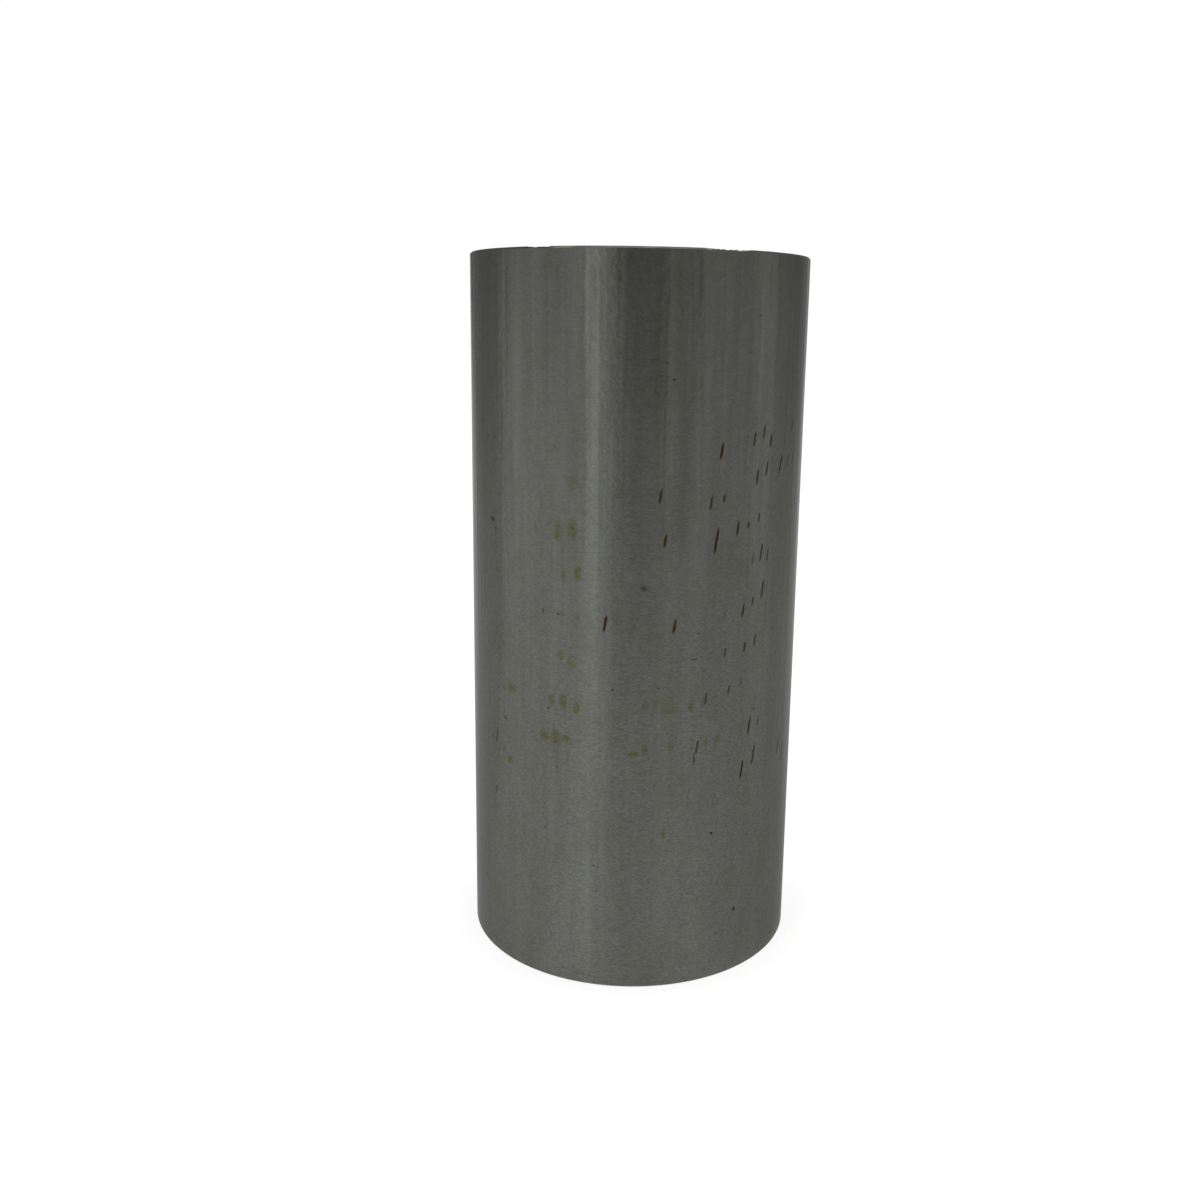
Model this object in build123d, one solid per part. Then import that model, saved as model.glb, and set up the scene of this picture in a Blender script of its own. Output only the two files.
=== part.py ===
from build123d import *

import os
from math import radians, tan

# Dry cylinder liner: a plain ground tube without a flange, turned from one piece.
# It stands on its foot. Z runs up along the bore, and the origin is the centre of the foot.
# Sizes are in millimetres, angles in degrees.

# Tube
bore_diameter = 94.0    # honed bore, in which the piston runs
wall = 2.0              # from the bore out to the ground outside, which is pressed into the block
length = 204.0          # from the foot to the top, over both end faces

# Edge breaks on the outside, at 45 degrees
top_edge_break = 0.5
foot_edge_break = 0.4

# Mouths of the bore
ring_lead_in_depth = 0.6    # into the wall at the top, where the piston rings go in
ring_lead_in_angle = 30.0   # from the bore's axis
foot_bore_break = 0.5       # at 45 degrees, at the foot

bore_radius = bore_diameter / 2
outer_radius = bore_radius + wall
ring_lead_in_length = ring_lead_in_depth / tan(radians(ring_lead_in_angle))


def outside_points():
    """Corners of the section up the outside, from the foot face to the top face."""
    return [
        (outer_radius - foot_edge_break, 0),
        (outer_radius, foot_edge_break),
        (outer_radius, length - top_edge_break),
        (outer_radius - top_edge_break, length),
    ]


def bore_points():
    """Corners of the section down the bore, from the top face to the foot face."""
    return [
        (bore_radius + ring_lead_in_depth, length),
        (bore_radius, length - ring_lead_in_length),
        (bore_radius, foot_bore_break),
        (bore_radius + foot_bore_break, 0),
    ]


def wall_section():
    """Half section of the wall, as a face in the XZ plane."""
    outline = Polyline(*outside_points(), *bore_points(), close=True)
    return Plane.XZ * make_face(outline)


def liner():
    """The wall section turned once round the bore's axis."""
    return revolve(wall_section(), axis=Axis.Z)


os.makedirs("parts", exist_ok=True)
export_step(liner(), "parts/liner.step")
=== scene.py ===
import math

import bmesh
import bpy
from mathutils import Matrix, Vector


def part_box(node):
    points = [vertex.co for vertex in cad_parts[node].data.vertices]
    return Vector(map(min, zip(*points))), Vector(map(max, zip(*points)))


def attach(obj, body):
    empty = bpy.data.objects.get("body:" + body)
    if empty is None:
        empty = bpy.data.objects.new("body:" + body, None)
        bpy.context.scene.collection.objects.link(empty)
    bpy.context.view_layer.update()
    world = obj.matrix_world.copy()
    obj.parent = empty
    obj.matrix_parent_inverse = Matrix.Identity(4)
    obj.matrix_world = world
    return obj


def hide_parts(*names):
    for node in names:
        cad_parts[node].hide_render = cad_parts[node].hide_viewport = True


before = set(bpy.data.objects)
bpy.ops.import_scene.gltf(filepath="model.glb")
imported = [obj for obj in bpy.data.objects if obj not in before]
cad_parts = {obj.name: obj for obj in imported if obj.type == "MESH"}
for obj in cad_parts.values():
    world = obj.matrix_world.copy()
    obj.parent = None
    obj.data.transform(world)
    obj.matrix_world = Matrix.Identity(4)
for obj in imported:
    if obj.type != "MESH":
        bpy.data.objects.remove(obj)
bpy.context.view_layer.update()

bl_info = {
    "name": "Cylinder Liner",
    "version": (1, 0, 0),
    "blender": (4, 5, 0),
    "location": "View3D > Sidebar > Liner",
    "description": "Turns a dry cylinder liner, finishes its iron and sets a plain studio round it",
    "category": "Object",
}

NODE = "liner"
PIECE = "liner_body"
BODY = "root"
MM = 0.001
MM_PER_METRE = 1000.0

FOOT_CORNER, TOP_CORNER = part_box(NODE)
LENGTH = TOP_CORNER.z - FOOT_CORNER.z
OUTER_RADIUS = TOP_CORNER.x
LENGTH_MM = LENGTH * MM_PER_METRE
RADIUS_MM = OUTER_RADIUS * MM_PER_METRE

# Rust ticks that lean with the turn of the wall: degrees round from the front, height in mm,
# length in mm, darkness
TICKS = (
    (40.0, 155.3, 4.6, 0.80), (44.3, 157.0, 4.4, 0.70), (47.9, 154.5, 4.2, 0.85),
    (27.2, 152.6, 5.2, 1.00), (41.8, 145.0, 4.8, 0.90), (46.3, 147.0, 4.6, 0.75),
    (7.5, 141.0, 4.4, 0.80), (24.0, 139.0, 4.2, 0.75), (28.6, 139.9, 2.6, 0.80),
    (9.3, 129.2, 4.2, 0.95), (26.2, 128.6, 7.9, 1.00), (34.2, 131.5, 4.7, 0.90),
    (38.6, 132.2, 2.0, 0.75), (43.3, 133.7, 2.9, 0.65), (45.0, 123.9, 5.5, 0.80),
    (48.4, 122.9, 4.6, 0.60), (41.3, 122.6, 4.0, 0.40), (61.0, 134.5, 3.3, 0.30),
    (46.4, 113.3, 6.2, 0.85), (41.7, 110.6, 3.1, 0.70), (37.6, 108.5, 4.6, 0.95),
    (12.9, 106.0, 4.8, 0.95), (-9.0, 106.5, 5.1, 1.00), (38.8, 98.0, 3.1, 0.80),
    (43.5, 99.2, 3.7, 0.70), (30.8, 97.3, 3.3, 0.45), (30.0, 107.6, 3.3, 0.25),
    (24.1, 85.0, 3.7, 0.50), (32.7, 86.4, 3.1, 0.60), (37.5, 88.0, 4.2, 0.25),
    (42.3, 74.5, 5.8, 0.90), (46.8, 75.1, 3.1, 0.50), (44.8, 65.1, 6.8, 0.85),
    (39.4, 61.8, 6.2, 1.00), (61.1, 64.4, 6.6, 1.00), (65.6, 61.2, 6.6, 0.95),
    (21.4, 71.2, 4.4, 0.70), (-52.6, 68.0, 5.5, 0.50), (-53.2, 51.3, 3.1, 0.50),
)

# Rust ticks that lean further, in rows of the same kind
STEEP_TICKS = (
    (61.8, 158.0, 4.2, 0.85), (54.1, 147.7, 5.5, 1.00), (59.0, 148.2, 4.0, 0.85),
    (63.4, 148.6, 3.8, 0.80),
)

# Smudges of old oil: degrees round, height in mm, width in mm, height of the smudge in mm, strength
SMUDGES = (
    (-25.8, 152.8, 2.3, 3.2, 0.40), (-20.2, 144.2, 4.7, 4.5, 0.57), (-24.9, 130.6, 3.0, 7.2, 1.00),
    (-19.8, 131.4, 3.6, 6.8, 1.00), (-33.2, 131.0, 1.4, 3.8, 0.46), (-18.3, 119.9, 2.7, 5.8, 1.00),
    (-23.0, 118.4, 2.4, 4.4, 0.78), (-23.3, 108.4, 2.3, 2.1, 0.52), (-17.7, 107.4, 2.2, 2.1, 0.57),
    (-23.9, 96.6, 2.3, 4.6, 0.85), (-20.1, 94.9, 3.0, 5.0, 0.80), (-43.8, 84.0, 4.3, 4.2, 0.95),
    (-47.8, 83.4, 2.6, 3.0, 0.63), (-26.9, 83.3, 2.9, 4.4, 0.90), (-22.8, 83.6, 2.7, 6.5, 1.00),
    (-18.2, 82.0, 2.8, 5.0, 1.00), (-29.7, 72.8, 3.8, 3.4, 0.95), (-25.5, 72.7, 4.4, 6.4, 1.00),
    (-21.9, 72.9, 3.9, 2.8, 1.00), (-17.3, 72.8, 2.9, 1.5, 0.75), (-45.0, 62.6, 3.9, 3.0, 1.00),
    (-48.5, 65.0, 2.1, 3.0, 0.86), (4.0, 83.6, 3.9, 4.0, 0.54), (11.2, 83.4, 5.6, 9.0, 0.50),
    (8.4, 85.0, 3.9, 3.8, 0.46), (19.0, 83.0, 2.5, 4.5, 0.93), (23.5, 83.6, 2.2, 2.8, 0.62),
    (0.2, 70.1, 3.4, 2.0, 1.00), (4.0, 71.3, 2.8, 4.8, 1.00), (12.3, 71.4, 2.1, 3.8, 0.62),
    (24.6, 72.3, 2.0, 4.4, 0.70), (29.2, 72.9, 2.3, 4.4, 0.68), (10.4, 46.4, 2.0, 3.5, 0.85),
    (27.8, 85.1, 2.1, 1.2, 0.70), (12.0, 173.7, 1.7, 1.4, 0.52), (27.8, 201.4, 2.9, 1.8, 0.46),
)

# Specks of dirt, and faint marks that darken the wall along the foot: degrees round, height in mm,
# width in mm, height of the speck in mm, darkness
SPECKS = (
    (27.6, 44.9, 1.3, 1.0, 0.90), (38.1, 19.3, 1.2, 2.0, 0.95), (-12.0, 36.7, 0.9, 0.9, 0.75),
    (-29.3, 45.5, 1.0, 0.9, 0.55), (-61.3, 21.4, 1.5, 1.2, 0.60), (-57.0, 40.4, 1.8, 0.7, 0.55),
    (61.0, 3.9, 1.5, 1.0, 0.85), (-25.0, 64.2, 0.8, 0.8, 0.60), (-6.4, 88.2, 0.9, 0.9, 0.65),
    (8.2, 88.8, 0.8, 0.9, 0.55), (21.0, 103.5, 2.2, 0.5, 0.50), (19.8, 96.4, 2.3, 0.8, 0.50),
    (37.0, 156.0, 1.0, 1.0, 0.45), (3.0, 116.4, 2.6, 2.2, 0.52), (-54.4, 131.0, 3.4, 2.0, 0.80),
    (-51.8, 117.0, 0.9, 2.6, 0.50), (-57.4, 154.0, 1.5, 1.5, 0.40), (-62.0, 158.0, 1.9, 1.6, 0.40),
    (-64.2, 148.9, 1.9, 3.0, 0.30), (-58.4, 146.0, 2.4, 2.0, 0.28), (-61.6, 137.3, 2.4, 1.6, 0.25),
    (-28.1, 81.0, 0.9, 1.0, 0.60), (-24.7, 108.0, 1.4, 0.9, 0.60), (-30.2, 108.4, 0.9, 2.4, 0.40),
    (-47.4, 74.4, 2.2, 2.2, 0.35), (-55.6, 67.0, 2.2, 1.4, 0.45), (8.6, 175.3, 0.9, 0.9, 0.50),
    (10.9, 171.1, 1.0, 1.0, 0.65), (40.8, 187.6, 1.0, 1.0, 0.45), (44.4, 79.0, 1.8, 1.2, 0.50),
    (20.5, 67.6, 0.6, 4.4, 0.75), (-48.6, 96.2, 0.7, 2.2, 0.40), (68.0, 75.4, 1.6, 1.4, 0.45),
    # Rows under 4 mm up with darkness under 0.25 only darken the wall along the foot
    (-22.0, 3.7, 4.0, 0.9, 0.16), (-17.0, 3.0, 5.0, 0.8, 0.22), (-11.0, 2.4, 3.0, 0.7, 0.14),
    (-54.0, 3.4, 5.0, 1.2, 0.22), (-62.0, 85.5, 1.4, 1.0, 0.35), (-52.6, 128.6, 1.1, 2.0, 0.55),
    (-56.2, 129.2, 1.0, 1.4, 0.50), (-53.4, 133.2, 0.9, 1.2, 0.50),
)

# Nicks worn into the top rim: degrees round, half width in degrees, depth in mm
NICKS = (
    (-35.6, 1.2, 0.14), (-33.6, 1.6, 0.26), (-31.2, 1.4, 0.17), (-29.3, 1.1, 0.22),
    (21.4, 1.0, 0.10), (23.2, 1.1, 0.20), (25.2, 1.2, 0.28), (27.4, 1.3, 0.36),
    (29.6, 1.2, 0.31), (31.8, 1.2, 0.35), (33.8, 1.0, 0.22), (35.2, 1.0, 0.12),
)

# Painted highlights on the top edge break, where it glints: degrees round, height in mm, width in mm,
# height of the spot in mm, strength
RIM_GLINTS = (
    (-24.0, 203.8, 9.0, 1.4, 0.9), (20.8, 203.8, 2.6, 1.4, 0.7), (31.6, 203.8, 4.5, 1.4, 0.8),
    (-34.0, 203.8, 1.6, 1.4, 0.4), (3.0, 203.8, 5.0, 1.4, 0.2),
)


# ---------------------------------------------------------------------------------------------
# Settings
# ---------------------------------------------------------------------------------------------

class LinerShape(bpy.types.PropertyGroup):
    """How finely the liner is turned, and how far its corners are eased."""

    segments: bpy.props.IntProperty(
        name="Segments", description="Faces round the liner", default=400, min=32)
    ring_spacing: bpy.props.FloatProperty(
        name="Ring spacing", description="Height of the faces on the long walls",
        default=4 * MM, min=MM, unit="LENGTH", precision=4)
    corner_ease: bpy.props.FloatProperty(
        name="Corner ease", description="Radius that rounds each turned corner",
        default=0.12 * MM, min=0.02 * MM, unit="LENGTH", precision=5)
    corner_steps: bpy.props.IntProperty(
        name="Corner steps", description="Faces across each eased corner", default=3, min=1)


class LinerFinish(bpy.types.PropertyGroup):
    """Colours and cutting marks of the iron."""

    ground_colour: bpy.props.FloatVectorProperty(
        name="Ground iron", description="Ground outside of the liner",
        default=(0.1297, 0.1330, 0.1197), subtype="COLOR", size=3, min=0, max=1)
    honed_colour: bpy.props.FloatVectorProperty(
        name="Honed iron", description="Honed bore",
        default=(0.24, 0.243, 0.228), subtype="COLOR", size=3, min=0, max=1)
    faced_colour: bpy.props.FloatVectorProperty(
        name="Faced iron", description="Turned end faces and edge breaks",
        default=(0.190, 0.192, 0.180), subtype="COLOR", size=3, min=0, max=1)
    # Painted highlight: colour of the glinting spots on the top edge break
    glint_colour: bpy.props.FloatVectorProperty(
        name="Rim glint", description="Painted highlight on the top edge break",
        default=(0.55, 0.55, 0.43), subtype="COLOR", size=3, min=0, max=1)
    rust_colour: bpy.props.FloatVectorProperty(
        name="Rust", description="Brown rust of a tick",
        default=(0.040, 0.024, 0.005), subtype="COLOR", size=3, min=0, max=1)
    fresh_rust_colour: bpy.props.FloatVectorProperty(
        name="Fresh rust", description="Orange rust along part of a tick",
        default=(0.078, 0.040, 0.008), subtype="COLOR", size=3, min=0, max=1)
    # Ticks go to this dark colour towards the sides of the wall
    side_rust_colour: bpy.props.FloatVectorProperty(
        name="Side rust", description="Rust ticks towards the sides, darker than in front",
        default=(0.022, 0.021, 0.012), subtype="COLOR", size=3, min=0, max=1)
    oil_colour: bpy.props.FloatVectorProperty(
        name="Old oil", description="Iron under a smudge of old oil",
        default=(0.090, 0.088, 0.030), subtype="COLOR", size=3, min=0, max=1)
    # Colour of the specks, and of the faint marks that darken the wall along the foot
    speck_colour: bpy.props.FloatVectorProperty(
        name="Dark specks", description="Specks of dirt and faint marks along the foot",
        default=(0.020, 0.021, 0.017), subtype="COLOR", size=3, min=0, max=1)
    ground_roughness: bpy.props.FloatProperty(
        name="Ground roughness", description="Roughness of the ground outside",
        default=0.30, min=0, max=1, subtype="FACTOR")
    honed_roughness: bpy.props.FloatProperty(
        name="Honed roughness", description="Roughness of the honed bore",
        default=0.40, min=0, max=1, subtype="FACTOR")
    faced_roughness: bpy.props.FloatProperty(
        name="Faced roughness", description="Roughness of the turned ends",
        default=0.38, min=0, max=1, subtype="FACTOR")
    grain_contrast: bpy.props.FloatProperty(
        name="Grain", description="Contrast of the fine grain in the iron",
        default=0.50, min=0, max=1, subtype="FACTOR")
    hatch_angle: bpy.props.FloatProperty(
        name="Hatch angle", description="Slope of the honing lines in the bore",
        default=math.radians(25), subtype="ANGLE")


class LinerStudio(bpy.types.PropertyGroup):
    """The camera and the light."""

    camera_place: bpy.props.FloatVectorProperty(
        name="Camera", description="Where the camera stands",
        default=(0.0003, -0.3502, 0.1854), subtype="TRANSLATION", unit="LENGTH", size=3)
    camera_tilt: bpy.props.FloatProperty(
        name="Tilt", description="How far the camera looks down",
        default=math.radians(11.70), subtype="ANGLE")
    camera_roll: bpy.props.FloatProperty(
        name="Roll", description="How far the camera leans to the side",
        default=math.radians(0.98), subtype="ANGLE")
    camera_lens: bpy.props.FloatProperty(
        name="Lens", description="Focal length in millimetres", default=35.06, unit="CAMERA")
    camera_shift: bpy.props.FloatProperty(
        name="Shift", description="Frames the liner left of and below the lens axis",
        default=-0.03)
    fill_level: bpy.props.FloatProperty(
        name="Fill", description="Light that the surroundings throw on matt surfaces",
        default=0.5, min=0)
    floor_glow: bpy.props.FloatProperty(
        name="Floor glow", description="Lifts the floor to the white of the backdrop",
        default=0.685, min=0)


# ---------------------------------------------------------------------------------------------
# The liner's mesh
# ---------------------------------------------------------------------------------------------

# Decimals of a metre to which vertices of one corner agree
CORNER_DIGITS = 5

# Only rows this near the top face sink with a nick
RIM_HEIGHT = 0.4 * MM

# The mesh carries one material for each part, in this order
PARTS = ("outside", "bore", "end")

# How much of the baking chart each part takes for its length, and the margin round the chart
CHART_SHARE = {"outside": 1.6, "bore": 1.0, "end": 4.0}
CHART_MARGIN = 0.002
CHART_SPAN = 1.0 - 2 * CHART_MARGIN


def section_corners():
    """Corners of the wall's section as (radius, height): up the outside, then down the bore."""
    found = set()
    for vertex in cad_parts[NODE].data.vertices:
        radius = math.hypot(vertex.co.x, vertex.co.y)
        found.add((round(radius, CORNER_DIGITS), round(vertex.co.z, CORNER_DIGITS)))
    radii = [radius for radius, _ in found]
    middle = (min(radii) + max(radii)) / 2
    outside = sorted((c for c in found if c[0] > middle), key=lambda c: c[1])
    inside = sorted((c for c in found if c[0] <= middle), key=lambda c: -c[1])
    return [Vector(corner) for corner in outside + inside]


def eased_corner(before, corner, after, ease, steps):
    """Points and outward normals of the small arc that rounds one corner of the section."""
    towards = (before - corner).normalized()
    away = (after - corner).normalized()
    half_angle = towards.angle(away) / 2
    centre = corner + (towards + away).normalized() * ease / math.sin(half_angle)
    first = corner + towards * ease / math.tan(half_angle) - centre
    last = corner + away * ease / math.tan(half_angle) - centre
    turned = first.angle_signed(last)
    points = []
    for step in range(steps + 1):
        arm = first.copy()
        arm.rotate(Matrix.Rotation(-turned * step / steps, 2))
        points.append((centre + arm, arm.normalized()))
    return points


def wall_profile(settings):
    """The eased section as (point, normal, part) rows. A part is "outside", "bore" or "end"."""
    corners = section_corners()
    rows = []
    for index, corner in enumerate(corners):
        before, after = corners[index - 1], corners[(index + 1) % len(corners)]
        arc = eased_corner(before, corner, after, settings.corner_ease, settings.corner_steps)
        rows += [(point, normal, "end") for point, normal in arc]
        straight = after - corner
        if straight.length > LENGTH / 2:
            part = "outside" if straight.y > 0 else "bore"
            rows[-1] = (*rows[-1][:2], part)
            rows += long_wall(arc[-1], straight, after, settings, part)
    return rows


def long_wall(start, straight, end, settings, part):
    """Rings that divide a long wall evenly between its two eased corners."""
    point, normal = start
    rings = round(straight.length / settings.ring_spacing)
    return [(point.lerp(end, ring / rings), normal, part) for ring in range(1, rings)]


def charted(part, whole):
    """Where a part of a whole lies between the margins of the baking chart."""
    return CHART_MARGIN + CHART_SPAN * part / whole


def chart_heights(rows):
    """Where each row lies up the baking chart, by the parts' shares of it."""
    heights = [0.0]
    for index, (point, _, part) in enumerate(rows):
        after = rows[(index + 1) % len(rows)][0]
        heights.append(heights[-1] + (after - point).length * CHART_SHARE[part])
    return [charted(height, heights[-1]) for height in heights]


def nick_depth(angle):
    """How far a nick sinks the top rim at this angle."""
    depth = 0.0
    for degrees, half_width, deep in NICKS:
        off = abs(math.degrees(angle) - degrees) / half_width
        depth = max(depth, deep * MM * (1 - off * off))
    return depth


def turned_mesh(settings):
    """The closed mesh of the liner, turned from the eased section, with exact normals."""
    rows = wall_profile(settings)
    count = settings.segments
    heights = chart_heights(rows)
    mesh = bpy.data.meshes.new(PIECE)
    shape = bmesh.new()
    chart = shape.loops.layers.uv.new("OFBake")
    angles = [math.tau * step / count - math.pi for step in range(count)]
    rings = []
    normals = []
    for point, normal, _ in rows:
        ring = []
        for angle in angles:
            across, forward = math.sin(angle), -math.cos(angle)
            sunk = nick_depth(angle) if point.y > LENGTH - RIM_HEIGHT else 0.0
            ring.append(shape.verts.new((point.x * across, point.x * forward, point.y - sunk)))
            normals.append((normal.x * across, normal.x * forward, normal.y))
        rings.append(ring)
    for index, (_, _, part) in enumerate(rows):
        lower, upper = rings[index], rings[(index + 1) % len(rings)]
        for step in range(count):
            after = (step + 1) % count
            face = shape.faces.new((lower[step], lower[after], upper[after], upper[step]))
            face.smooth = True
            face.material_index = PARTS.index(part)
            left, right = charted(step, count), charted(step + 1, count)
            low, high = heights[index], heights[index + 1]
            places = ((left, low), (right, low), (right, high), (left, high))
            for loop, place in zip(face.loops, places):
                loop[chart].uv = place
    shape.to_mesh(mesh)
    shape.free()
    mesh.normals_split_custom_set_from_vertices(normals)
    return mesh


# ---------------------------------------------------------------------------------------------
# Nodes
# ---------------------------------------------------------------------------------------------

VALUE = "NodeSocketFloat"
VECTOR = "NodeSocketVector"

# How nodes are laid out in the editor
NODES_IN_A_ROW = 12
NODE_WIDTH = 190
NODE_HEIGHT = 300

# Sockets of a mix node that mixes colours: factor, first and second, and the result
MIX_INPUTS = (0, 6, 7)
MIX_RESULT = 2

# The level that noise lies round
NOISE_MIDDLE = 0.5

# Keeps the burnish from dividing by nothing, in mm
NARROWEST_BOUND = 0.01


class Web:
    """Adds nodes to one tree, and joins or sets their inputs."""

    def __init__(self, tree):
        self.tree = tree

    def feed(self, socket, value):
        """Joins an output to the socket, or sets the socket to a plain value."""
        if isinstance(value, bpy.types.NodeSocket):
            self.tree.links.new(value, socket)
        else:
            socket.default_value = value

    def node(self, kind, inputs=None, **choices):
        """A new node with these choices and inputs."""
        row, column = divmod(len(self.tree.nodes), NODES_IN_A_ROW)
        made = self.tree.nodes.new(kind)
        made.location = (column * NODE_WIDTH, -row * NODE_HEIGHT)
        for name, value in choices.items():
            setattr(made, name, value)
        for name, value in (inputs or {}).items():
            self.feed(made.inputs[name], value)
        return made

    def maths(self, operation, *values, clamp=False):
        """One arithmetic step."""
        made = self.node("ShaderNodeMath", operation=operation, use_clamp=clamp)
        for socket, value in zip(made.inputs, values):
            self.feed(socket, value)
        return made.outputs[0]

    def vector(self, operation, *values):
        """One step of vector arithmetic that gives a vector."""
        made = self.node("ShaderNodeVectorMath", operation=operation)
        for socket, value in zip(made.inputs, values):
            self.feed(socket, value)
        return made.outputs["Vector"]

    def length(self, value):
        """The length of a vector."""
        made = self.node("ShaderNodeVectorMath", {0: value}, operation="LENGTH")
        return made.outputs["Value"]

    def split(self, value):
        """The X, Y and Z of a vector."""
        return self.node("ShaderNodeSeparateXYZ", {"Vector": value}).outputs

    def joined(self, **parts):
        """A vector from its X, Y and Z."""
        return self.node("ShaderNodeCombineXYZ", parts).outputs["Vector"]

    def turn(self, parts):
        """How far round from the front a split place lies, in radians."""
        return self.maths("ARCTAN2", parts["X"], self.maths("MULTIPLY", parts["Y"], -1.0))

    def spread(self, value, low, high, to_low=0.0, to_high=1.0, smooth=False):
        """The value's range stretched to another range, and held inside it."""
        kind = "SMOOTHSTEP" if smooth else "LINEAR"
        inputs = {"Value": value, "From Min": low, "From Max": high}
        inputs.update({"To Min": to_low, "To Max": to_high})
        return self.node("ShaderNodeMapRange", inputs, interpolation_type=kind).outputs["Result"]

    def noise(self, place, scale=1.0, detail=2.0, roughness=0.5, output="Fac"):
        """Noise at a place, 0 to 1 with most of it near the middle."""
        inputs = {"Vector": place, "Scale": scale, "Detail": detail, "Roughness": roughness}
        return self.node("ShaderNodeTexNoise", inputs).outputs[output]

    def mix(self, factor, first, second):
        """Two colours mixed."""
        made = self.node("ShaderNodeMix", data_type="RGBA")
        for socket, value in zip(MIX_INPUTS, (factor, first, second)):
            self.feed(made.inputs[socket], value)
        return made.outputs[MIX_RESULT]

    def group(self, name, inputs):
        """The outputs of a node group placed with these inputs."""
        return self.node("ShaderNodeGroup", inputs, node_tree=bpy.data.node_groups[name]).outputs


def cleared(owner):
    """The web of a material or a world, with no nodes in it."""
    owner.use_nodes = True
    owner.node_tree.nodes.clear()
    return Web(owner.node_tree)


def new_group(name, inputs, outputs):
    """A node group with these sockets: its web, its inputs and its outputs."""
    tree = bpy.data.node_groups.new(name, "ShaderNodeTree")
    for label, kind, default in inputs:
        socket = tree.interface.new_socket(label, in_out="INPUT", socket_type=kind)
        if default is not None:
            socket.default_value = default
    for label, kind in outputs:
        tree.interface.new_socket(label, in_out="OUTPUT", socket_type=kind)
    web = Web(tree)
    return web, web.node("NodeGroupInput").outputs, web.node("NodeGroupOutput").inputs


def build_place_group():
    """Where a point lies, in mm: in space, on the unrolled wall, up, and out from the axis."""
    web, given, made = new_group(
        "Place on Liner", [("Position", VECTOR, None)],
        [("Place", VECTOR), ("Wall", VECTOR), ("Height", VALUE), ("Reach", VALUE)])
    place = web.vector("MULTIPLY", given["Position"], (MM_PER_METRE,) * 3)
    parts = web.split(place)
    across = web.maths("MULTIPLY", web.turn(parts), RADIUS_MM)
    wall = web.joined(X=across, Y=parts["Z"])
    flat = web.joined(X=parts["X"], Y=parts["Y"])
    web.feed(made["Place"], place)
    web.feed(made["Wall"], wall)
    web.feed(made["Height"], parts["Z"])
    web.feed(made["Reach"], web.length(flat))


def build_grain_group():
    """Fine grain: a value near 1 that darkens and lightens the iron. Squeeze flattens the grains."""
    web, given, made = new_group(
        "Iron Grain",
        [("Place", VECTOR, None), ("Size", VALUE, 0.5), ("Squeeze", VALUE, 1.0),
         ("Contrast", VALUE, 0.1)],
        [("Shade", VALUE)])
    squeezed = web.joined(X=1.0, Y=1.0, Z=given["Squeeze"])
    place = web.vector("MULTIPLY", given["Place"], squeezed)
    fine = web.noise(web.vector("DIVIDE", place, given["Size"]), detail=2.0, roughness=0.6)
    swing = web.maths("MULTIPLY", web.maths("SUBTRACT", fine, NOISE_MIDDLE), given["Contrast"])
    web.feed(made["Shade"], web.maths("MULTIPLY_ADD", swing, 2.0, 1.0))


def build_lobe_group():
    """Long faint lobes and a ragged unevenness left by the grinding, as a height from 0 to 1."""
    web, given, made = new_group(
        "Grinding Lobes",
        [("Place", VECTOR, None), ("Lobe Width", VALUE, 2.0), ("Lobe Length", VALUE, 60.0),
         ("Ragged", VALUE, 0.3)],
        [("Height", VALUE)])
    size = web.joined(X=given["Lobe Width"], Y=given["Lobe Width"], Z=given["Lobe Length"])
    lobes = web.noise(web.vector("DIVIDE", given["Place"], size), detail=1.0)
    ragged = web.noise(given["Place"], scale=0.45, detail=3.0, roughness=0.6)
    web.feed(made["Height"], web.maths("MULTIPLY_ADD", ragged, given["Ragged"], lobes))


def build_spot_group(name, blunt):
    """One oval spot on the wall, laid over the mask that comes in as Under. A blunt one is squarer.

    Heart is the share of its half size that has the full strength.
    """
    web, given, made = new_group(
        name,
        [("Wall", VECTOR, None), ("Centre", VECTOR, (0, 0, 0)), ("Half Size", VECTOR, (1, 1, 1)),
         ("Heart", VALUE, 0.5), ("Strength", VALUE, 1.0), ("Under", VALUE, 0.0)],
        [("Mask", VALUE)])
    offset = web.vector("SUBTRACT", given["Wall"], given["Centre"])
    offset = web.vector("DIVIDE", offset, given["Half Size"])
    if blunt:
        offset = web.vector("MULTIPLY", offset, offset)
    spot = web.spread(web.length(offset), 1.0, given["Heart"], 0.0, given["Strength"])
    web.feed(made["Mask"], web.maths("MAXIMUM", spot, given["Under"]))


def build_edge_group():
    """Burnish near the ends of a wall: 1 at the edge, 0 from about Width inwards, with uneven bounds."""
    web, given, made = new_group(
        "Worn Ends",
        [("Place", VECTOR, None), ("Height", VALUE, 0.0), ("Width", VALUE, 1.0)],
        [("Mask", VALUE)])
    from_top = web.maths("SUBTRACT", LENGTH_MM, given["Height"])
    near = web.maths("MINIMUM", given["Height"], from_top)
    uneven = web.noise(given["Place"], scale=0.8, detail=3.0, roughness=0.6)
    bound = web.maths("MULTIPLY", given["Width"], web.maths("MULTIPLY", uneven, 2.0))
    ratio = web.maths("DIVIDE", near, web.maths("MAXIMUM", bound, NARROWEST_BOUND))
    web.feed(made["Mask"], web.maths("SUBTRACT", 1.0, ratio, clamp=True))


def build_groups():
    """All the shared effects."""
    build_place_group()
    build_grain_group()
    build_lobe_group()
    build_spot_group("Wall Spot", blunt=False)
    build_spot_group("Wall Tick", blunt=True)
    build_edge_group()


# ---------------------------------------------------------------------------------------------
# Materials
# ---------------------------------------------------------------------------------------------

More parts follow.
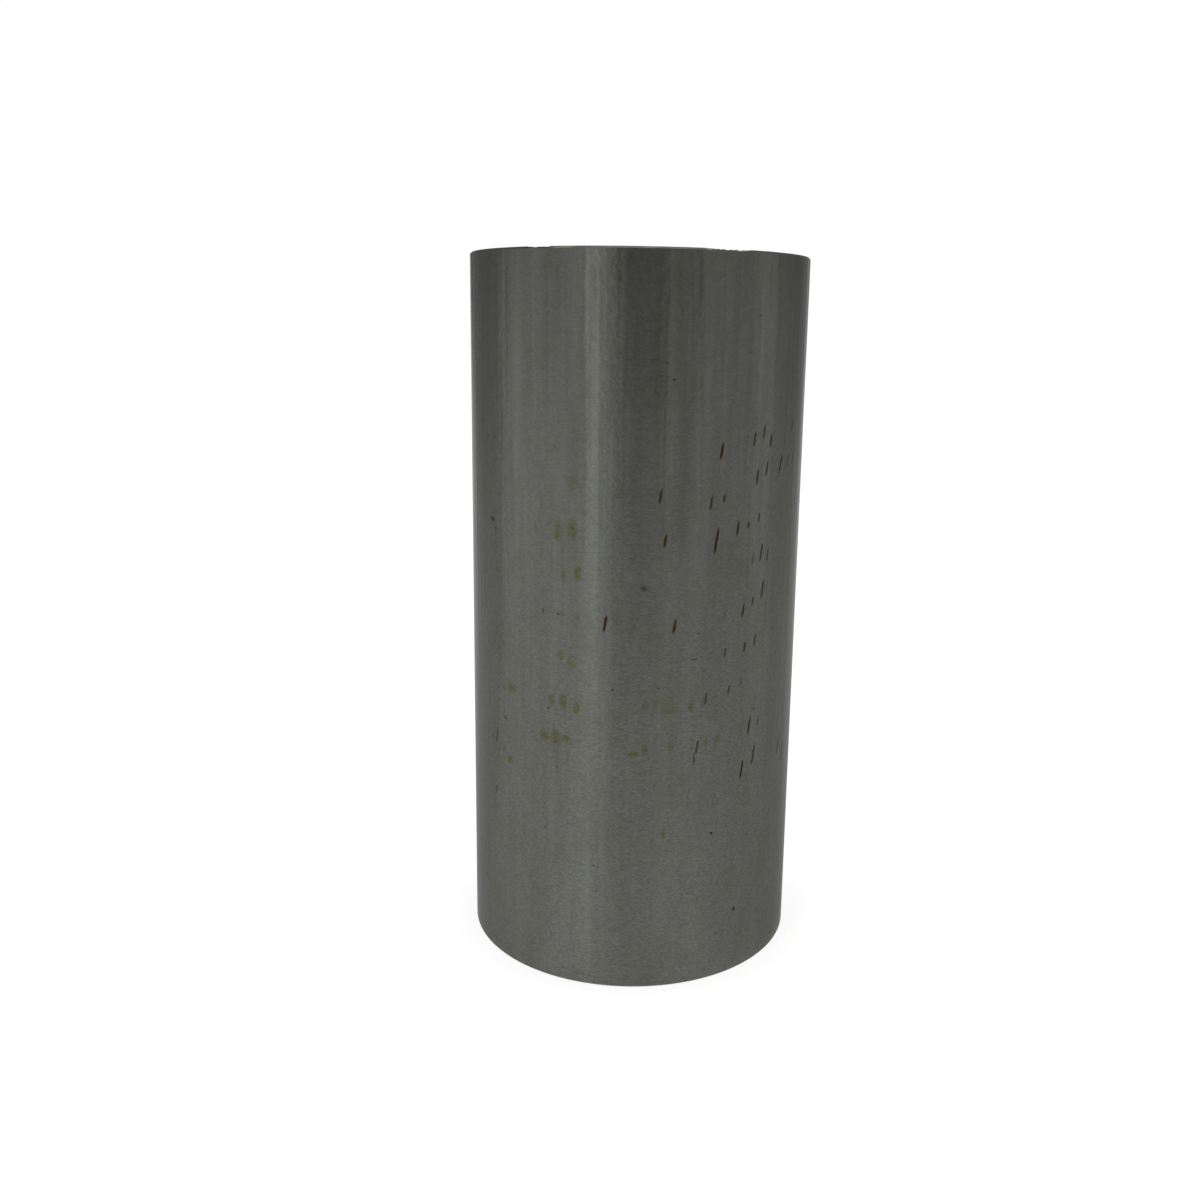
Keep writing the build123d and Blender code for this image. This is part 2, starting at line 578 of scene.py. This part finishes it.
# Iron: a quarter turn for the streaks of its gloss, its gloss where it is not bare metal, and the
# tint of its gloss at a slant
STREAK_TURN = 0.25
PLAIN_GLOSS = 0.05
SLANT_TINT = (0.6, 0.6, 0.6, 1.0)

# Width of a rust tick in mm, and how far ticks lean: mm across for each mm of height
TICK_WIDTH = 0.92
TICK_LEAN = 0.16
STEEP_LEAN = 0.36

# Shares of a mark's half size that have its full strength
TICK_HEART = 0.35
SPECK_HEART = 0.35
SMUDGE_HEART = 0.40
GLINT_HEART = 0.50

# Ticks keep their brown and orange up to the first of these distances round from the front, in mm,
# and are dark from the second
SIDE_DARK_BETWEEN = (33.0, 39.0)

# Noise levels between which a tick turns orange, and between which a smudge goes from thin to full
ORANGE_BETWEEN = (0.46, 0.60)
SMUDGE_BETWEEN = (0.38, 0.56)
SMUDGE_THIN = 0.30
SMUDGE_SQUASH = (1.0, 1.0, 1.8)

# Faint haze of old oil: noise levels between which it comes in, and its full strength
HAZE_BETWEEN = (0.50, 0.80)
HAZE_LEVEL = 0.22

# Fine grain calms between these heights in mm, down to this share
CALM_BETWEEN = (70.0, 200.0)
CALM_SHARE = 0.35

# Drawn streaks grow between these heights in mm, from the first contrast to the second
STREAKS_BETWEEN = (0.0, 190.0)
STREAK_CONTRASTS = (0.06, 0.22)

# Height of the relief on the ground, the honed and the faced iron
LOBE_RELIEF = 0.14 * MM
HATCH_RELIEF = 0.008 * MM
RING_RELIEF = 0.006 * MM

# Honing lines: how the noise is squeezed into lines, and their contrast. Turned rings: contrast.
HATCH_SQUEEZE = (1.6, 1.6, 0.05)
HATCH_CONTRAST = 1.4
RING_CONTRAST = 0.8

# Share of the grain's contrast on the faced iron
FACED_GRAIN = 0.6

# The painted highlight on the rim comes in between these distances in from the outside, in mm
GLINT_BETWEEN = (0.7, 0.3)


def new_iron(name, roughness, streak):
    """A new iron material: the material, its web, its shader's inputs and the place group's outputs."""
    material = bpy.data.materials.new(name)
    web = cleared(material)
    shader = web.node("ShaderNodeBsdfPrincipled", {
        "Metallic": 1.0, "Roughness": roughness, "Anisotropic": streak,
        "Anisotropic Rotation": STREAK_TURN, "Specular IOR Level": PLAIN_GLOSS,
        "Specular Tint": SLANT_TINT})
    around = web.node("ShaderNodeTangent", direction_type="RADIAL", axis="Z")
    web.feed(shader.inputs["Tangent"], around.outputs["Tangent"])
    web.node("ShaderNodeOutputMaterial", {"Surface": shader.outputs["BSDF"]})
    position = web.node("ShaderNodeTexCoord").outputs["Object"]
    return material, web, shader.inputs, web.group("Place on Liner", {"Position": position})


def solid(colour):
    """A colour with its alpha."""
    return (*colour, 1.0)


def scaled(web, colour, factor):
    """A colour times a value."""
    made = web.node("ShaderNodeVectorMath", {0: tuple(colour), "Scale": factor}, operation="SCALE")
    return made.outputs["Vector"]


def grained(web, on, size, squeeze, contrast):
    """One layer of grain: a value near 1 that shades a colour."""
    return web.group("Iron Grain", {
        "Place": on["Place"], "Size": size, "Squeeze": squeeze, "Contrast": contrast})["Shade"]


def bumped(web, height, distance):
    """A normal that follows a height of 0 to 1 over a distance in metres."""
    return web.node("ShaderNodeBump", {"Height": height, "Distance": distance}).outputs["Normal"]


def leaned(web, wall, lean):
    """The wall's place slid sideways with height, so that an upright oval leans on it."""
    parts = web.split(wall)
    across = web.maths("MULTIPLY_ADD", parts["Y"], -lean, parts["X"])
    return web.joined(X=across, Y=parts["Y"])


def roughened(web, on, size, reach):
    """The wall's place shaken by up to this reach, so that the edge of a spot is uneven."""
    shake = web.noise(web.vector("DIVIDE", on["Place"], (size,) * 3), detail=1.0, output="Color")
    centred = web.vector("SUBTRACT", shake, (NOISE_MIDDLE,) * 3)
    return web.vector("MULTIPLY_ADD", centred, (2 * reach, 2 * reach, 0.0), on["Wall"])


def spots(web, wall, rows, heart, lean=0.0, under=0.0, kind="Wall Spot"):
    """A mask of spots. Rows are (degrees round, height, width, height of the spot, strength)."""
    mask = under
    for degrees, height, width, tall, strength in rows:
        across = math.radians(degrees) * RADIUS_MM - lean * height
        mask = web.group(kind, {
            "Wall": wall, "Centre": (across, height, 0.0), "Half Size": (width / 2, tall / 2, 1.0),
            "Heart": heart, "Strength": strength, "Under": mask})["Mask"]
    return mask


def ticks(web, wall, rows, lean, under=0.0):
    """A mask of thin leaning ticks. Rows are (degrees round, height, length, strength)."""
    thin = [(degrees, height, TICK_WIDTH, long, dark) for degrees, height, long, dark in rows]
    return spots(web, leaned(web, wall, lean), thin, TICK_HEART, lean, under, "Wall Tick")


def oiled(web, on, loose):
    """A mask of the smudges of old oil, broken up by noise, with a faint haze over the wall."""
    oil = spots(web, loose, SMUDGES, SMUDGE_HEART)
    squashed = web.vector("MULTIPLY", on["Place"], SMUDGE_SQUASH)
    patches = web.noise(squashed, scale=1.2, detail=4.0, roughness=0.7)
    broken = web.spread(patches, *SMUDGE_BETWEEN, to_low=SMUDGE_THIN)
    oil = web.maths("MULTIPLY", oil, broken)
    clouds = web.noise(on["Place"], scale=0.08, detail=4.0)
    haze = web.spread(clouds, *HAZE_BETWEEN, to_high=HAZE_LEVEL)
    return web.maths("MAXIMUM", oil, haze)


def ground_shade(web, on, finish):
    """Patches, streaks and fine grain of the ground wall, as one value near 1."""
    full = finish.grain_contrast
    calm = web.spread(on["Height"], *CALM_BETWEEN, full, CALM_SHARE * full)
    fine = grained(web, on, size=0.95, squeeze=2.4, contrast=calm)
    drawn = web.spread(on["Height"], *STREAKS_BETWEEN, *STREAK_CONTRASTS)
    streaks = grained(web, on, size=2.4, squeeze=0.04, contrast=drawn)
    shade = grained(web, on, size=2.4, squeeze=1.2, contrast=0.10)
    broad = grained(web, on, size=9.0, squeeze=0.4, contrast=0.10)
    for layer in (broad, streaks, fine):
        shade = web.maths("MULTIPLY", shade, layer)
    return shade


def tick_colour(web, on, finish):
    """Colour of the ticks: brown and orange in front, dark towards the sides."""
    across = web.split(on["Wall"])["X"]
    # Ticks go dark with distance round from the front, alike on both sides
    towards_sides = web.spread(web.maths("ABSOLUTE", across), *SIDE_DARK_BETWEEN)
    orange = web.spread(web.noise(on["Place"], scale=0.45, detail=2.0), *ORANGE_BETWEEN)
    rusted = web.mix(orange, solid(finish.rust_colour), solid(finish.fresh_rust_colour))
    return web.mix(towards_sides, rusted, solid(finish.side_rust_colour))


def ground_iron(finish):
    """The outside: ground, with rust ticks, smudges of old oil, specks of dirt, and faint marks
    that darken the wall along the foot.
    """
    material, web, shader, on = new_iron("Ground iron", finish.ground_roughness, streak=1.0)
    uneven = roughened(web, on, size=1.1, reach=0.12)
    loose = roughened(web, on, size=1.6, reach=0.8)
    rust = ticks(web, uneven, TICKS, TICK_LEAN)
    rust = ticks(web, uneven, STEEP_TICKS, STEEP_LEAN, rust)
    oil = oiled(web, on, loose)
    # Mask of the specks of dirt and of the faint marks that darken the wall along the foot
    dirt = spots(web, uneven, SPECKS, SPECK_HEART)
    colour = scaled(web, finish.ground_colour, ground_shade(web, on, finish))
    colour = web.mix(oil, colour, solid(finish.oil_colour))
    colour = web.mix(dirt, colour, solid(finish.speck_colour))
    colour = web.mix(rust, colour, tick_colour(web, on, finish))
    web.feed(shader["Base Color"], colour)
    web.feed(shader["Metallic"], web.maths("SUBTRACT", 1.0, web.maths("MAXIMUM", rust, dirt)))
    lobes = web.group("Grinding Lobes", {
        "Place": on["Place"], "Lobe Width": 3.0, "Lobe Length": 70.0, "Ragged": 0.55})
    web.feed(shader["Normal"], bumped(web, lobes["Height"], LOBE_RELIEF))
    return material


def honed_iron(finish):
    """The bore: honed, with two sets of fine lines that cross."""
    material, web, shader, on = new_iron("Honed iron", finish.honed_roughness, streak=0.6)
    turn = 1.0 / (RADIUS_MM * math.tan(finish.hatch_angle))
    lines = []
    for side in (turn, -turn):
        angle = web.maths("MULTIPLY", on["Height"], side)
        inputs = {"Vector": on["Place"], "Angle": angle}
        turned = web.node("ShaderNodeVectorRotate", inputs, rotation_type="Z_AXIS")
        stretched = web.vector("MULTIPLY", turned.outputs["Vector"], HATCH_SQUEEZE)
        lines.append(web.noise(stretched, detail=3.0, roughness=0.65))
    hatch = web.maths("ADD", *lines)
    swing = web.maths("SUBTRACT", hatch, 2 * NOISE_MIDDLE)
    shade = web.maths("MULTIPLY_ADD", swing, HATCH_CONTRAST, 1.0)
    grain = grained(web, on, size=0.6, squeeze=1.0, contrast=finish.grain_contrast)
    wear_and_glint = web.group("Worn Ends", {"Place": on["Place"], "Height": on["Height"], "Width": 1.6})
    colour = scaled(web, finish.honed_colour, web.maths("MULTIPLY", shade, grain))
    web.feed(shader["Base Color"], web.mix(wear_and_glint["Mask"], colour, solid(finish.faced_colour)))
    web.feed(shader["Normal"], bumped(web, hatch, HATCH_RELIEF))
    return material


def faced_iron(finish):
    """The end faces and edge breaks: turned, with fine rings, and painted highlights on the top rim."""
    material, web, shader, on = new_iron("Faced iron", finish.faced_roughness, streak=0.6)
    rings = web.noise(web.joined(X=on["Reach"], Y=on["Height"]), scale=9.0, detail=2.0)
    swing = web.maths("SUBTRACT", rings, NOISE_MIDDLE)
    shade = web.maths("MULTIPLY_ADD", swing, RING_CONTRAST, 1.0)
    grain = grained(web, on, size=1.2, squeeze=1.0, contrast=FACED_GRAIN * finish.grain_contrast)
    colour = scaled(web, finish.faced_colour, web.maths("MULTIPLY", shade, grain))
    # Painted highlight: bright spots on the top edge break, where the chamfer glints
    loose = roughened(web, on, size=1.2, reach=0.5)
    outer = web.spread(on["Reach"], *(RADIUS_MM - inwards for inwards in GLINT_BETWEEN))
    wear_and_glint = web.maths("MULTIPLY", spots(web, loose, RIM_GLINTS, GLINT_HEART), outer)
    web.feed(shader["Base Color"], web.mix(wear_and_glint, colour, solid(finish.glint_colour)))
    web.feed(shader["Normal"], bumped(web, rings, RING_RELIEF))
    return material


class LINER_OT_turn_body(bpy.types.Operator):
    """Turn the liner and give it its ground, honed and faced finishes"""

    bl_idname = "liner.turn_body"
    bl_label = "Turn body"

    def execute(self, context):
        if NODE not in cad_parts:
            raise RuntimeError(f"the frame has no node named {NODE}")
        build_groups()
        finish = context.scene.liner_finish
        mesh = turned_mesh(context.scene.liner_shape)
        for material in (ground_iron(finish), honed_iron(finish), faced_iron(finish)):
            mesh.materials.append(material)
        body = bpy.data.objects.new(PIECE, mesh)
        context.collection.objects.link(body)
        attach(body, BODY)
        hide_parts(NODE)
        return {"FINISHED"}


# ---------------------------------------------------------------------------------------------
# Stage
# ---------------------------------------------------------------------------------------------

WHITE = (1.0, 1.0, 1.0, 1.0)
FLOOR_COLOUR = (0.8, 0.8, 0.8, 1.0)
FLOOR_RADIUS = 5.0
FLOOR_SEGMENTS = 64
LAMP_DISTANCE = 0.6

# The nets hang in a ring, and an apron runs in from their foot to the liner, just above the floor.
NET_RADIUS = 0.7
NET_HEIGHT = 1.8
NET_SEGMENTS = 96
APRON_RADIUS = OUTER_RADIUS + 2 * MM
APRON_HEIGHT = 1 * MM

# A glowing band on the apron under the key lamps, seen only in gloss: painted key light on the
# floor. Degrees round to its middle, half width and softness in degrees, level, and the heights
# between which it comes in
GLOW_BAND_MIDDLE = -27.0
GLOW_BAND_HALF = 4.5
GLOW_BAND_SOFT = 9.0
GLOW_BAND_LEVEL = 0.15
GLOW_BAND_BETWEEN = (10 * MM, 5 * MM)

# Dark nets hung round the set, seen only in gloss: degrees round from the front, half width and
# softness in degrees, height in metres where the net starts and where it is full, dimming
NETS = (
    (0.0, 146.0, 20.0, 0.00, 0.15, 0.37),
    (0.0, 156.0, 8.0, 0.12, 0.50, 0.27),
    (180.0, 105.0, 40.0, -2.0, -1.0, 0.06),
    (115.0, 60.0, 30.0, -2.0, -1.0, 0.14),
    (100.0, 78.0, 10.0, 0.00, 0.15, 0.03),
    (5.0, 12.0, 11.0, 0.00, 0.12, 0.89),
    (31.0, 5.0, 5.0, 0.00, 0.15, 0.62),
    (80.0, 10.0, 8.0, 0.02, 0.30, 0.08),
    (133.0, 12.0, 8.0, 0.02, 0.30, 0.12),
    (-75.0, 30.0, 10.0, -2.0, -1.0, 0.04),
    (-74.0, 30.0, 28.0, 0.08, 0.40, 0.46),
    (-130.0, 10.0, 10.0, -0.01, 0.07, 0.18),
    (-67.0, 7.0, 4.0, 0.10, 0.30, 0.22),
    (-63.0, 2.5, 3.5, 0.02, 0.25, 0.34),
    (-125.0, 20.0, 20.0, -2.0, -1.0, 0.09),
    (-125.0, 20.0, 20.0, 0.02, 0.30, 0.04),
    (-153.0, 2.4, 1.4, 0.10, 0.20, 0.95),
    (160.5, 1.6, 1.2, 0.12, 0.22, 0.90),
)

# Lamps: name, degrees round, width and height in metres, height of the middle, power in watts, colour
LAMPS = (
    ("key core", -28.5, 0.060, 0.80, 0.45, 0.08, (1.00, 1.00, 0.97)),
    ("key strip", -29.5, 0.130, 0.80, 0.45, 0.10, (1.00, 1.00, 0.97)),
    ("key edge", -25.2, 0.140, 0.80, 0.45, 0.040, (1.00, 1.00, 0.97)),
    ("left softbox", -68.0, 0.72, 0.22, 0.13, 0.28, (1.00, 1.00, 1.00)),
    ("right fill", 66.0, 0.50, 0.80, 0.45, 0.05, (1.00, 1.00, 1.00)),
    ("right softbox", 90.5, 0.18, 0.80, 0.50, 0.14, (1.00, 1.00, 1.00)),
    ("warm strip", 20.3, 0.030, 0.80, 0.45, 0.04, (1.00, 0.90, 0.66)),
)


def emits_white(web, plain, bright):
    """A value that is bright where the camera, a gloss or a glass looks, and plain elsewhere."""
    path = web.node("ShaderNodeLightPath").outputs
    seen = web.maths("MAXIMUM", path["Is Camera Ray"], path["Is Glossy Ray"])
    seen = web.maths("MAXIMUM", seen, path["Is Transmission Ray"])
    return web.spread(seen, 0.0, 1.0, plain, bright)


def set_world(studio):
    """White surroundings that throw a plain level of light."""
    world = bpy.data.worlds.new("Studio")
    bpy.context.scene.world = world
    web = cleared(world)
    level = emits_white(web, studio.fill_level, 1.0)
    background = web.node("ShaderNodeBackground", {"Color": WHITE, "Strength": level})
    web.node("ShaderNodeOutputWorld", {"Surface": background.outputs["Background"]})


def floor_paint(studio):
    """Pale matt floor that keeps a shadow, lifted to the white of the surroundings."""
    material = bpy.data.materials.new("Floor")
    web = cleared(material)
    glow = emits_white(web, 0.0, studio.floor_glow)
    shader = web.node("ShaderNodeBsdfPrincipled", {
        "Base Color": FLOOR_COLOUR, "Roughness": 1.0, "Specular IOR Level": 0.0,
        "Emission Color": WHITE, "Emission Strength": glow})
    web.node("ShaderNodeOutputMaterial", {"Surface": shader.outputs["BSDF"]})
    return material


def set_floor(studio):
    """A large round floor under the foot."""
    mesh = bpy.data.meshes.new("floor")
    shape = bmesh.new()
    bmesh.ops.create_circle(shape, cap_ends=True, segments=FLOOR_SEGMENTS, radius=FLOOR_RADIUS)
    shape.to_mesh(mesh)
    shape.free()
    mesh.materials.append(floor_paint(studio))
    floor = bpy.data.objects.new("floor", mesh)
    bpy.context.collection.objects.link(floor)


def band_round(web, degrees, middle, half, soft, level):
    """A level that holds over a band of degrees and fades out on both sides of it."""
    off = web.maths("ABSOLUTE", web.maths("SUBTRACT", degrees, middle))
    return web.spread(off, half + soft, half, to_high=level, smooth=True)


def net_cloth():
    """Cloth that dims what is behind it, by the table of nets, and carries a band of painted key light.
    """
    material = bpy.data.materials.new("Net")
    web = cleared(material)
    parts = web.split(web.node("ShaderNodeTexCoord").outputs["Object"])
    degrees = web.maths("DEGREES", web.turn(parts))
    left = 1.0
    for middle, half, soft, low, full, dimming in NETS:
        band = band_round(web, degrees, middle, half, soft, dimming)
        rise = web.spread(parts["Z"], low, full, smooth=True)
        let_by = web.maths("SUBTRACT", 1.0, web.maths("MULTIPLY", band, rise))
        left = web.maths("MULTIPLY", left, let_by)
    cloth = web.node("ShaderNodeBsdfTransparent", {"Color": left})
    # Painted light: a glowing band on the apron brightens the floor where gloss sees it
    band = band_round(web, degrees, GLOW_BAND_MIDDLE, GLOW_BAND_HALF, GLOW_BAND_SOFT, GLOW_BAND_LEVEL)
    lying = web.spread(parts["Z"], *GLOW_BAND_BETWEEN)
    glow_band = web.node("ShaderNodeEmission", {"Strength": web.maths("MULTIPLY", band, lying)})
    both = web.node("ShaderNodeAddShader", {0: cloth.outputs["BSDF"], 1: glow_band.outputs["Emission"]})
    web.node("ShaderNodeOutputMaterial", {"Surface": both.outputs["Shader"]})
    return material


def set_nets():
    """The nets and their apron: a round curtain that only gloss sees."""
    mesh = bpy.data.meshes.new("nets")
    shape = bmesh.new()
    rings = []
    bounds = ((APRON_RADIUS, APRON_HEIGHT), (NET_RADIUS, APRON_HEIGHT), (NET_RADIUS, NET_HEIGHT))
    for radius, height in bounds:
        place = Matrix.Translation((0.0, 0.0, height))
        made = bmesh.ops.create_circle(shape, segments=NET_SEGMENTS, radius=radius, matrix=place)
        rings.append(made["verts"])
    for lower, upper in zip(rings, rings[1:]):
        for index in range(len(lower)):
            shape.faces.new((lower[index - 1], lower[index], upper[index], upper[index - 1]))
    shape.to_mesh(mesh)
    shape.free()
    mesh.materials.append(net_cloth())
    nets = bpy.data.objects.new("nets", mesh)
    for ray in ("camera", "diffuse", "transmission", "volume_scatter", "shadow"):
        setattr(nets, "visible_" + ray, False)
    bpy.context.collection.objects.link(nets)


def set_lamp(name, degrees, width, height, middle, power, colour):
    """A soft rectangular lamp on a stand, square to the liner. Degrees run from the front."""
    data = bpy.data.lights.new(name, "AREA")
    data.shape = "RECTANGLE"
    data.size = width
    data.size_y = height
    data.energy = power
    data.color = colour
    lamp = bpy.data.objects.new(name, data)
    around = math.radians(degrees)
    out = Vector((math.sin(around), -math.cos(around), 0.0))
    lamp.location = out * LAMP_DISTANCE + Vector((0.0, 0.0, middle))
    lamp.rotation_euler = out.to_track_quat("Z", "Y").to_euler()
    lamp.visible_camera = False
    bpy.context.collection.objects.link(lamp)


def set_camera(studio):
    """The camera, which stands in front and a little below the top of the liner."""
    data = bpy.data.cameras.new("Camera")
    data.lens = studio.camera_lens
    data.sensor_width = 36.0
    data.shift_x = studio.camera_shift
    data.shift_y = studio.camera_shift
    data.clip_start = 0.01
    camera = bpy.data.objects.new("Camera", data)
    camera.location = studio.camera_place
    tilt = Matrix.Rotation(math.pi / 2 - studio.camera_tilt, 4, "X")
    camera.rotation_euler = (tilt @ Matrix.Rotation(studio.camera_roll, 4, "Z")).to_euler()
    bpy.context.collection.objects.link(camera)
    bpy.context.scene.camera = camera


class LINER_OT_set_stage(bpy.types.Operator):
    """Set the surroundings, the floor, the nets, the lamps and the camera"""

    bl_idname = "liner.set_stage"
    bl_label = "Set stage"

    def execute(self, context):
        studio = context.scene.liner_studio
        context.scene.view_settings.view_transform = "Standard"
        set_world(studio)
        set_floor(studio)
        set_nets()
        for lamp in LAMPS:
            set_lamp(*lamp)
        set_camera(studio)
        return {"FINISHED"}


# ---------------------------------------------------------------------------------------------
# Panel and registration
# ---------------------------------------------------------------------------------------------

class LINER_PT_panel(bpy.types.Panel):
    """Sizes, finishes and studio of the liner."""

    bl_idname = "LINER_PT_panel"
    bl_label = "Cylinder Liner"
    bl_space_type = "VIEW_3D"
    bl_region_type = "UI"
    bl_category = "Liner"

    def draw(self, context):
        for settings in (context.scene.liner_shape, context.scene.liner_finish,
                         context.scene.liner_studio):
            box = self.layout.box()
            for name in settings.__annotations__:
                box.prop(settings, name)
        for operator in OPERATORS:
            self.layout.operator(operator.bl_idname)


SETTINGS = {"liner_shape": LinerShape, "liner_finish": LinerFinish, "liner_studio": LinerStudio}
OPERATORS = (LINER_OT_turn_body, LINER_OT_set_stage)


def register():
    """Makes the settings, the operators and the panel known."""
    for group in SETTINGS.values():
        bpy.utils.register_class(group)
    for kind in (*OPERATORS, LINER_PT_panel):
        bpy.utils.register_class(kind)
    for name, group in SETTINGS.items():
        setattr(bpy.types.Scene, name, bpy.props.PointerProperty(type=group))


def unregister():
    """Takes away the settings, the operators and the panel."""
    for name in SETTINGS:
        delattr(bpy.types.Scene, name)
    for kind in (LINER_PT_panel, *reversed(OPERATORS), *reversed(SETTINGS.values())):
        bpy.utils.unregister_class(kind)


def main():
    """Builds the liner and its stage."""
    register()
    bpy.ops.liner.turn_body()
    bpy.ops.liner.set_stage()


if __name__ == "__main__":
    main()
